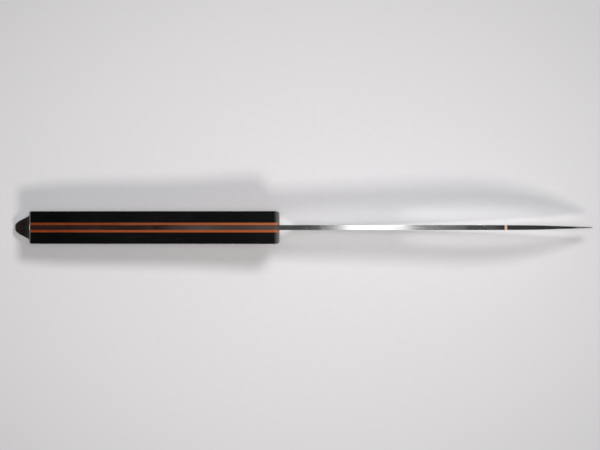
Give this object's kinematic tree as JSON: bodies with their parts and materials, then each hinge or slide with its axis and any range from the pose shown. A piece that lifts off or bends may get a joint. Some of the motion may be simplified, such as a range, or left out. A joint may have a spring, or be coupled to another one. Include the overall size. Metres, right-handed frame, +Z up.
{
  "type": "santoku knife",
  "caption": "Full-tang santoku kitchen knife with a two-steel blade joined by a copper seam, orange liners and black riveted handle scales.",
  "frame": {"origin": "on the ground under the middle of the knife, which stands on its heel and the toe of its handle", "axes": "+X towards the tip, +Y to the left of the blade, +Z up; the spine rises 4.7 degrees towards the tip"},
  "size_m": [0.3114, 0.0174, 0.0535],
  "materials": {
    "satin_steel": "satin, finely brushed",
    "polished_steel": "bright polished",
    "copper": "polished copper",
    "orange_fibre": "sanded vulcanised fibre",
    "black_resin_wood": "polished black resin-bonded wood",
    "rivet_steel": "ground flush"
  },
  "bodies": {
    "root": {"blade_body": "satin_steel", "edge_steel": "polished_steel", "braze_seam": "copper", "left_liner": "orange_fibre", "right_liner": "orange_fibre", "left_scale": "black_resin_wood", "right_scale": "black_resin_wood", "rivet_front_female": "rivet_steel", "rivet_front_male": "rivet_steel", "rivet_middle_female": "rivet_steel", "rivet_middle_male": "rivet_steel", "rivet_rear_female": "rivet_steel", "rivet_rear_male": "rivet_steel"}
  },
  "joints": []
}
